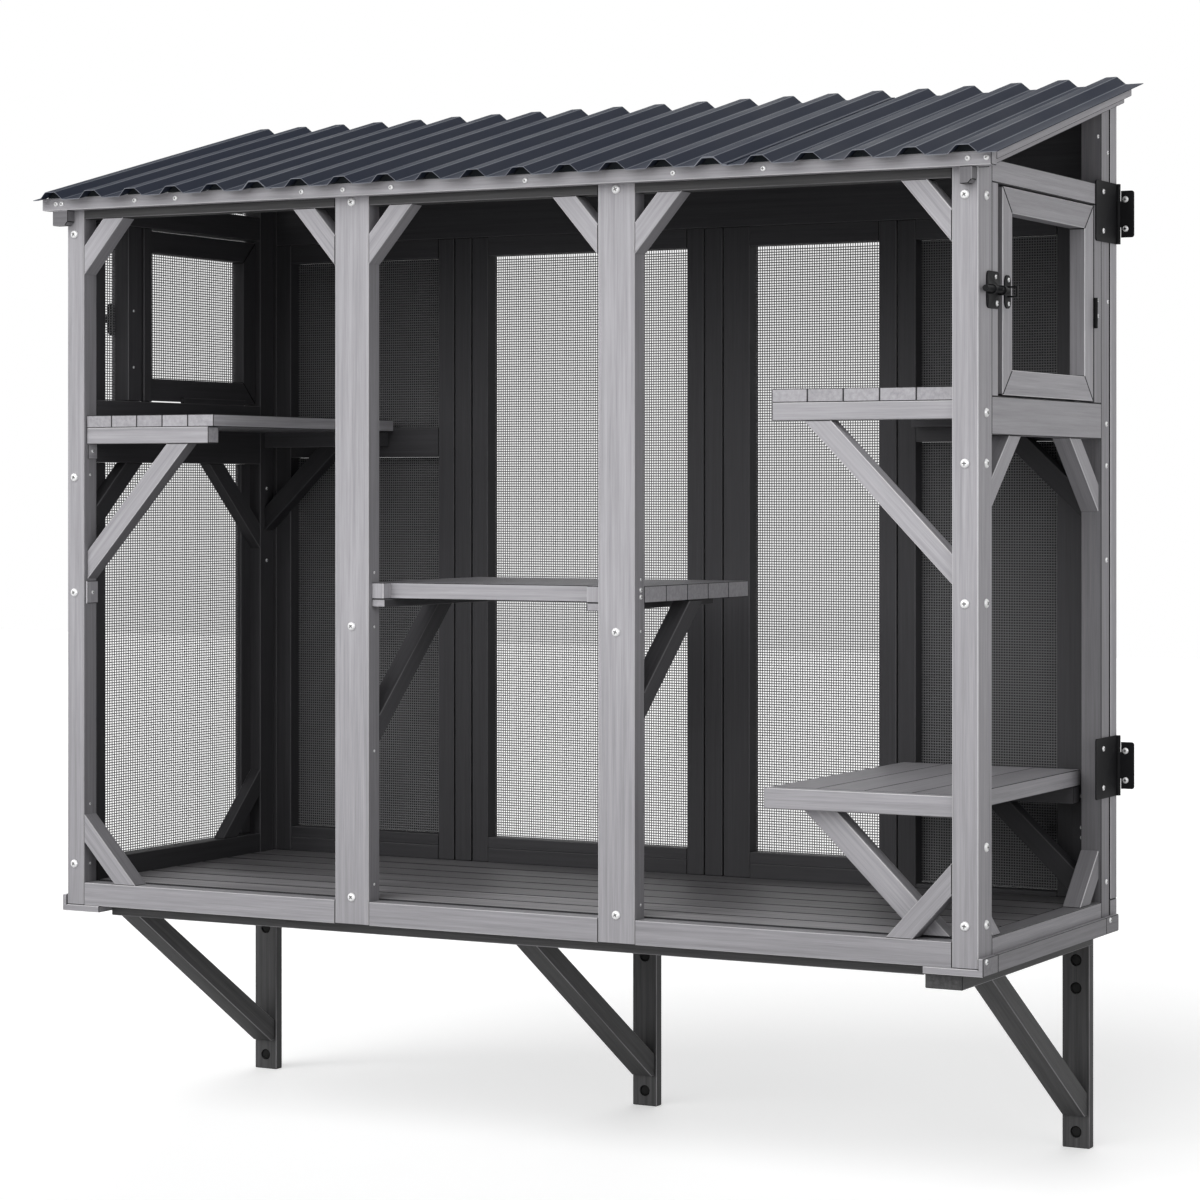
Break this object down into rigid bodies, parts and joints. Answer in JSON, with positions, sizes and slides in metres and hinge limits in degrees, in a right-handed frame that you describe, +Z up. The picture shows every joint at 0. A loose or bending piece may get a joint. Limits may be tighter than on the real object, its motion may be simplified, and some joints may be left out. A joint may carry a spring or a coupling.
{
  "type": "window box catio",
  "caption": "Window-mounted cat enclosure: grey timber box, wire mesh at the back and left side, lean-to ribbed roof, shelves, side doors with bolts, on wall brackets.",
  "frame": {"origin": "on the wall plane, midway between the two lag holes of the middle bracket's leg", "axes": "+X to the right seen from the front, +Y back into the wall, +Z up"},
  "size_m": [1.603, 0.6033, 1.6077],
  "materials": {
    "grey_wood": "painted grey, satin, light edges",
    "dark_board": "dark stained board, matt",
    "mesh_wire": "black coated wire, satin",
    "roof_sheet": "dark slate blue, low sheen",
    "black_metal": "black, satin",
    "screw_steel": "bright zinc"
  },
  "bodies": {
    "frame": {"front_post_left": "grey_wood", "front_post_mid_left": "grey_wood", "front_post_mid_right": "grey_wood", "front_post_right": "grey_wood", "front_bottom_rails": "grey_wood", "front_top_rails": "grey_wood", "front_corner_braces": "grey_wood", "fascia_board": "grey_wood", "base_side_boards": "grey_wood", "base_corner_plates": "grey_wood", "floor_bearers": "grey_wood", "floor_boards": "grey_wood", "bracket_legs": "grey_wood", "bracket_arms": "grey_wood", "bracket_braces": "grey_wood", "right_panel_posts": "grey_wood", "right_panel_rails": "grey_wood", "right_panel_braces": "grey_wood", "left_panel_posts": "grey_wood", "left_panel_rails": "grey_wood", "left_panel_braces": "grey_wood", "left_panel_mesh": "mesh_wire", "door_hinge_frame_leaves": "black_metal", "hinge_pins": "black_metal", "latch_plates": "black_metal", "back_frame_posts": "grey_wood", "back_frame_rails": "grey_wood", "back_mesh_panels": "mesh_wire", "back_end_boards": "dark_board", "back_header_board": "grey_wood", "upper_left_shelf_boards": "grey_wood", "upper_right_shelf_boards": "grey_wood", "middle_shelf_boards": "grey_wood", "lower_shelf_boards": "grey_wood", "shelf_rails": "grey_wood", "shelf_braces": "grey_wood", "rafters": "grey_wood", "barge_boards": "grey_wood", "roof_sheets_outer": "roof_sheet", "roof_sheet_middle": "roof_sheet", "wall_hinge_side_leaves": "black_metal", "wood_screws": "screw_steel"},
    "right_door": {"right_door_frame": "grey_wood", "right_door_hinge_leaf": "black_metal", "right_keeper": "black_metal"},
    "left_door": {"left_door_frame": "grey_wood", "left_door_mesh": "mesh_wire", "left_door_hinge_leaf": "black_metal", "left_keeper": "black_metal"},
    "right_bolt": {"right_latch_bolt": "black_metal"},
    "left_bolt": {"left_latch_bolt": "black_metal"},
    "upper_right_wall_hinge": {"upper_right_wall_leaf": "black_metal"},
    "lower_right_wall_hinge": {"lower_right_wall_leaf": "black_metal"},
    "upper_left_wall_hinge": {"upper_left_wall_leaf": "black_metal"},
    "lower_left_wall_hinge": {"lower_left_wall_leaf": "black_metal"}
  },
  "joints": [
    {"name": "right_door_hinge", "type": "hinge", "parent": "frame", "child": "right_door", "pos_m": [0.7903, -0.1015, 1.1115], "axis": [0, 0, 1], "range_deg": [0, 100]},
    {"name": "left_door_hinge", "type": "hinge", "parent": "frame", "child": "left_door", "pos_m": [-0.7403, -0.0715, 1.1165], "axis": [0, 0, -1], "range_deg": [0, 100]},
    {"name": "right_bolt_slide", "type": "slide", "parent": "frame", "child": "right_bolt", "axis": [0, 1, 0], "range_m": [0, 0.024]},
    {"name": "left_bolt_slide", "type": "slide", "parent": "frame", "child": "left_bolt", "axis": [0, 1, 0], "range_m": [0, 0.024]},
    {"name": "upper_right_wall_pin", "type": "hinge", "parent": "frame", "child": "upper_right_wall_hinge", "pos_m": [0.7907, -0.0037, 1.248], "axis": [0, 0, 1], "range_deg": [-90, 85]},
    {"name": "lower_right_wall_pin", "type": "hinge", "parent": "frame", "child": "lower_right_wall_hinge", "pos_m": [0.7907, -0.0037, 0.423], "axis": [0, 0, 1], "range_deg": [-90, 85]},
    {"name": "upper_left_wall_pin", "type": "hinge", "parent": "frame", "child": "upper_left_wall_hinge", "pos_m": [-0.7407, -0.0037, 1.248], "axis": [0, 0, -1], "range_deg": [-90, 85]},
    {"name": "lower_left_wall_pin", "type": "hinge", "parent": "frame", "child": "lower_left_wall_hinge", "pos_m": [-0.7407, -0.0037, 0.423], "axis": [0, 0, -1], "range_deg": [-90, 85]}
  ]
}
